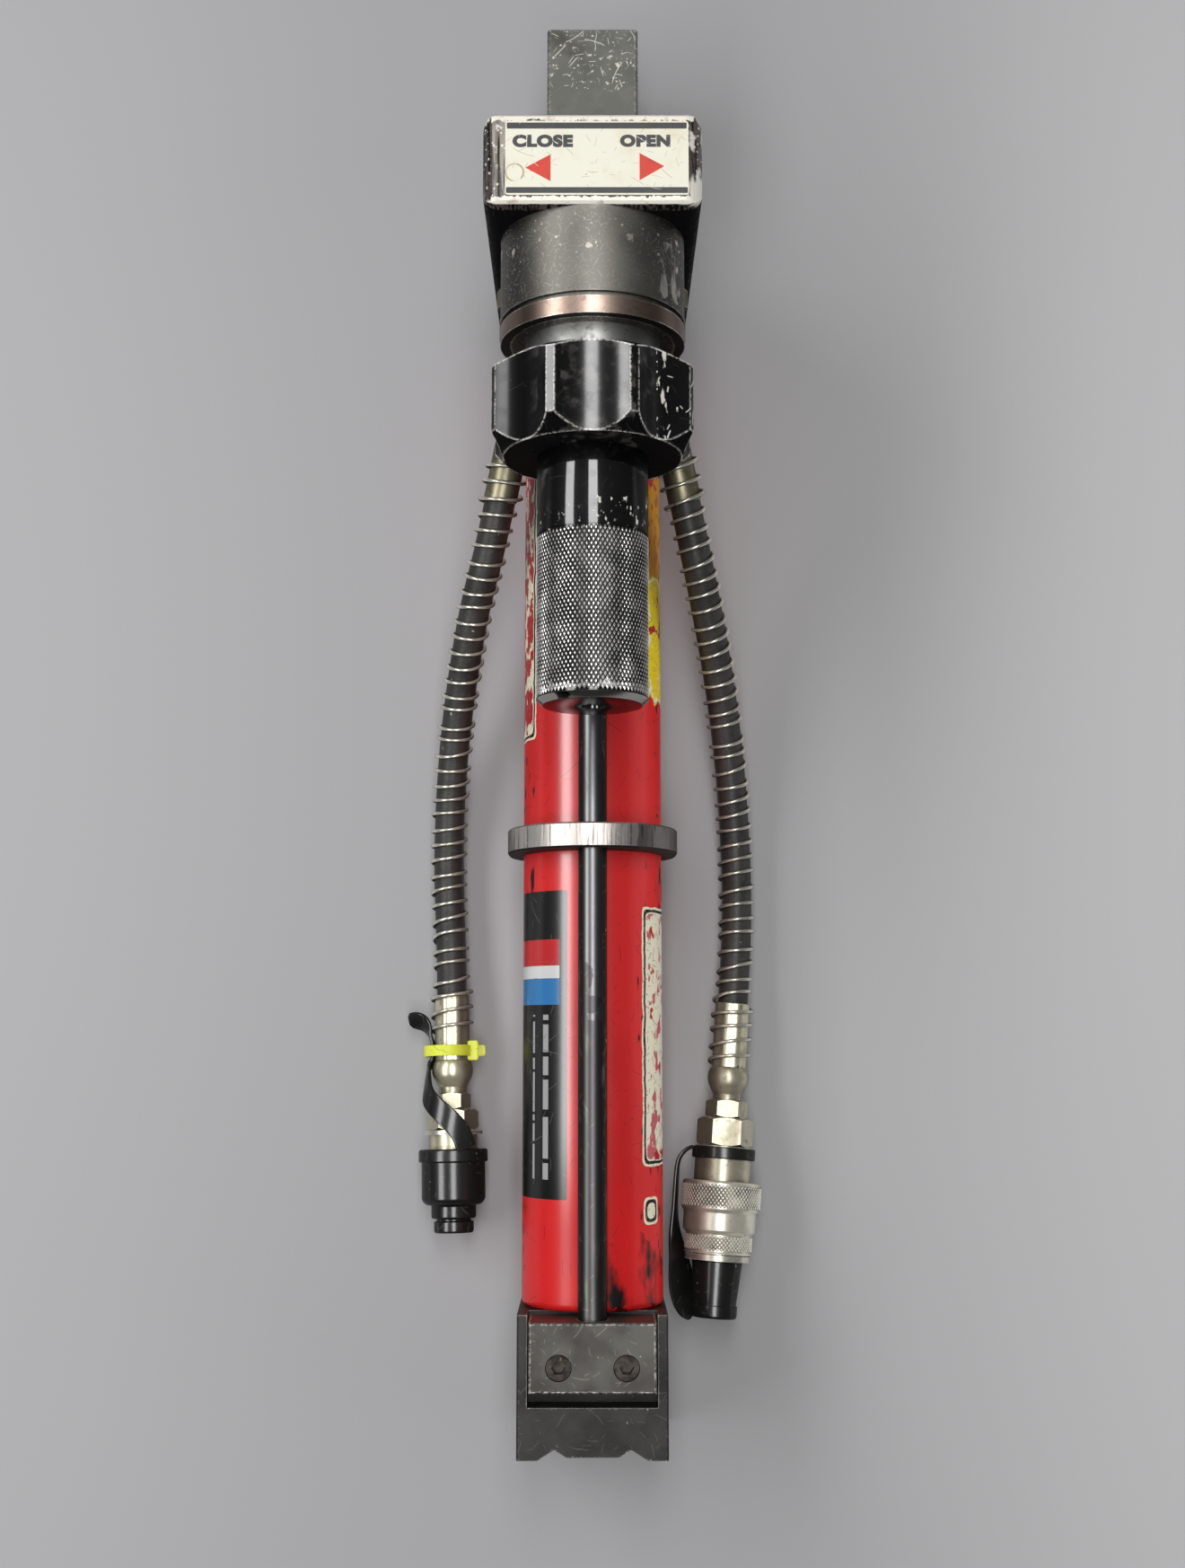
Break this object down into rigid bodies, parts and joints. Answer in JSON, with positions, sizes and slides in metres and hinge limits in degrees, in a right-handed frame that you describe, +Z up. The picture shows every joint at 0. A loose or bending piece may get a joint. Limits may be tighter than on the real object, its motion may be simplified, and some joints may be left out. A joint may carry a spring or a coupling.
{
  "type": "hydraulic rescue ram",
  "caption": "Hydraulic rescue ram: long cylinder with a square push head, slotted foot, twist-grip valve and hose tails with quick couplings and dust covers.",
  "frame": {"origin": "on the floor that the ram lies on, under the middle of the closed ram", "axes": "+Y along the cylinder towards the push head, +Z up from the floor, +X to the right seen from above with the push head at the top"},
  "size_m": [0.1561, 0.622, 0.1689],
  "materials": {
    "red_paint": "gloss red enamel, chipped and scuffed",
    "block_black": "black anodised block with bright worn edges",
    "foot_black": "black oxide with nicked edges",
    "collar_black": "gloss black with chipped edges",
    "pipe_black": "black paint with white chips",
    "housing_black": "dark satin",
    "worn_steel": "bare steel with file and hammer marks",
    "port_steel": "grey steel with bright edges",
    "head_steel": "grey scratched steel",
    "rod_chrome": "hard chrome, polished",
    "inner_steel": "turned steel",
    "screw_steel": "oiled dark screws",
    "bronze": "bronze, lightly tarnished",
    "zinc": "yellow zinc plate",
    "pale_brass": "pale brass, worn",
    "nickel": "nickel plate, worn",
    "spring_steel": "drawn spring wire",
    "hose_rubber": "charcoal hose cover",
    "black_rubber": "black moulded rubber",
    "seal_rubber": "oiled seal rubber",
    "wear_plastic": "filled wear-ring plastic",
    "tie_yellow": "bright yellow nylon",
    "label_cream": "aged cream label"
  },
  "bodies": {
    "ram": {"cylinder_tube": "red_paint", "base_cap": "inner_steel", "base_foot": "foot_black", "port_block": "port_steel", "port_block_screws": "screw_steel", "port_seal": "seal_rubber", "transfer_pipe": "pipe_black", "pipe_seals": "seal_rubber", "pipe_ring": "worn_steel", "head_block": "block_black", "valve_screws": "screw_steel", "rod_gland": "inner_steel", "rod_seal": "seal_rubber", "rod_wiper": "seal_rubber", "control_label": "label_cream", "valve_housing": "housing_black", "bearing_ring": "bronze", "valve_sleeve": "inner_steel", "return_spring": "spring_steel", "housing_seal": "seal_rubber", "nipple_body": "pale_brass", "nipple_clip": "spring_steel", "nipple_spring": "spring_steel", "cap_strap": "black_rubber", "cable_tie": "tie_yellow", "coupler_body": "nickel", "sleeve_spring": "spring_steel", "locking_balls": "inner_steel", "stop_ring": "spring_steel", "coupler_spring": "spring_steel", "plug_strap": "black_rubber", "left_port_adapter": "zinc", "left_upper_ferrule": "zinc", "left_hose": "hose_rubber", "left_spring_guard": "spring_steel", "left_lower_ferrule": "zinc", "left_hose_fitting": "pale_brass", "right_port_adapter": "zinc", "right_upper_ferrule": "zinc", "right_hose": "hose_rubber", "right_spring_guard": "spring_steel", "right_lower_ferrule": "zinc", "right_hose_fitting": "nickel"},
    "rod": {"piston": "inner_steel", "piston_seal": "seal_rubber", "piston_wear_ring": "wear_plastic", "piston_rod": "rod_chrome", "push_head": "head_steel", "piston_nut": "inner_steel", "head_pin": "inner_steel"},
    "grip": {"lobed_collar": "collar_black", "twist_grip": "collar_black", "valve_rotor": "inner_steel", "grip_screw": "screw_steel"},
    "sleeve": {"coupler_sleeve": "nickel"},
    "nipple_valve": {"nipple_poppet": "pale_brass"},
    "coupler_valve": {"coupler_poppet": "nickel"},
    "cap": {"dust_cap": "black_rubber"},
    "plug": {"dust_plug": "black_rubber"}
  },
  "joints": [
    {"name": "rod_slide", "type": "slide", "parent": "ram", "child": "rod", "axis": [0, 1, 0], "range_m": [0, 0.38]},
    {"name": "grip_twist", "type": "hinge", "parent": "ram", "child": "grip", "pos_m": [0, 0.1, 0.129], "axis": [0, 1, 0], "range_deg": [-30, 30], "stiffness_Nm_per_rad": 4},
    {"name": "sleeve_slide", "type": "slide", "parent": "ram", "child": "sleeve", "axis": [0.0765, 0.9946, -0.0698], "range_m": [0, 0.005], "stiffness_N_per_m": 1500, "deforming": ["sleeve_spring"]},
    {"name": "nipple_valve_slide", "type": "slide", "parent": "ram", "child": "nipple_valve", "axis": [-0.0227, 0.9984, -0.0523], "range_m": [0, 0.004], "stiffness_N_per_m": 400, "deforming": ["nipple_spring"]},
    {"name": "coupler_valve_slide", "type": "slide", "parent": "ram", "child": "coupler_valve", "axis": [0.0765, 0.9946, -0.0698], "range_m": [0, 0.004], "stiffness_N_per_m": 400, "deforming": ["coupler_spring"]},
    {"name": "cap_pull", "type": "slide", "parent": "ram", "child": "cap", "axis": [0.0227, -0.9984, 0.0523], "range_m": [0, 0.034], "deforming": ["cap_strap"]},
    {"name": "plug_pull", "type": "slide", "parent": "ram", "child": "plug", "axis": [-0.0765, -0.9946, 0.0698], "range_m": [0, 0.026], "deforming": ["plug_strap"]}
  ]
}
